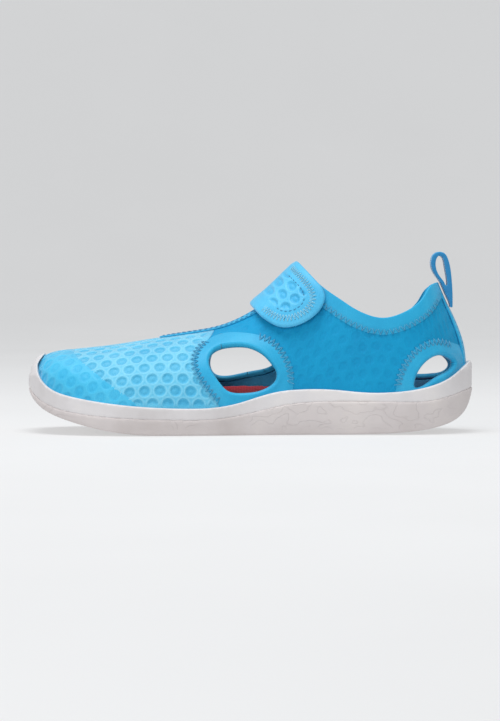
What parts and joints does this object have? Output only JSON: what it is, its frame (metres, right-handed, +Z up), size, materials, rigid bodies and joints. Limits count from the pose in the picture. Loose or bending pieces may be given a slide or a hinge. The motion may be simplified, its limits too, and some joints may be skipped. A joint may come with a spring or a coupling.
{
  "type": "neoprene water shoe",
  "caption": "Child's left water shoe: cupped rubber sole, stretch neoprene upper with drain vents, fold-over hook-and-loop strap and heel pull loop.",
  "frame": {"origin": "centre of the plan bounding box, on the ground under the sole", "axes": "-X towards the toe, +X towards the heel, +Y towards the inner (arch) side, -Y the outer side, +Z up"},
  "size_m": [0.2003, 0.074, 0.0809],
  "materials": {
    "outsole_rubber": "matte",
    "foxing_rubber": "matte",
    "midsole_foam": "matte",
    "strobel_board": "matte",
    "insole_foam": "matte",
    "insole_cover": "matte",
    "toe_film": "satin",
    "vamp_neoprene": "matte",
    "outer_quarter_neoprene": "matte",
    "inner_quarter_neoprene": "matte",
    "outer_side_vent_facing": "matte",
    "inner_side_vent_facing": "matte",
    "outer_heel_vent_facing": "matte",
    "inner_heel_vent_facing": "matte",
    "collar_facing": "matte",
    "throat_facing": "matte",
    "throat_gusset": "matte",
    "heel_tape": "matte",
    "pull_loop_webbing": "matte",
    "strap_anchor_rubber": "satin",
    "strap_bridge_rubber": "satin",
    "strap_tab_rubber": "satin",
    "hook_patch": "matte",
    "loop_patch": "matte"
  },
  "bodies": {
    "shoe": {"outsole": "outsole_rubber", "foxing_band": "foxing_rubber", "midsole_core": "midsole_foam", "strobel_board": "strobel_board", "insole_foam": "insole_foam", "insole_cover": "insole_cover", "toe_cap": "toe_film", "vamp": "vamp_neoprene", "outer_quarter": "outer_quarter_neoprene", "inner_quarter": "inner_quarter_neoprene", "outer_side_vent_facing": "outer_side_vent_facing", "inner_side_vent_facing": "inner_side_vent_facing", "outer_heel_vent_facing": "outer_heel_vent_facing", "inner_heel_vent_facing": "inner_heel_vent_facing", "collar_facing": "collar_facing", "throat_facing": "throat_facing", "throat_gusset": "throat_gusset", "heel_tape": "heel_tape", "strap_anchor": "strap_anchor_rubber", "loop_patch": "loop_patch"},
    "strap_bridge": {"strap_bridge": "strap_bridge_rubber"},
    "strap_tab": {"strap_tab": "strap_tab_rubber", "hook_patch": "hook_patch"},
    "pull_loop": {"pull_loop": "pull_loop_webbing"}
  },
  "joints": [
    {"name": "bridge_hinge", "type": "hinge", "parent": "shoe", "child": "strap_bridge", "pos_m": [0.02125, 0.02145, 0.05649], "axis": [-0.7316, 0.0961, -0.675], "range_deg": [0, 70]},
    {"name": "tab_hinge", "type": "hinge", "parent": "strap_bridge", "child": "strap_tab", "pos_m": [0.00975, 0.0025, 0.06807], "axis": [-0.7349, 0, -0.6782], "range_deg": [0, 110]},
    {"name": "loop_hinge", "type": "hinge", "parent": "shoe", "child": "pull_loop", "pos_m": [0.0917, 0, 0.0553], "axis": [0, 1, 0], "range_deg": [0, 75]}
  ]
}
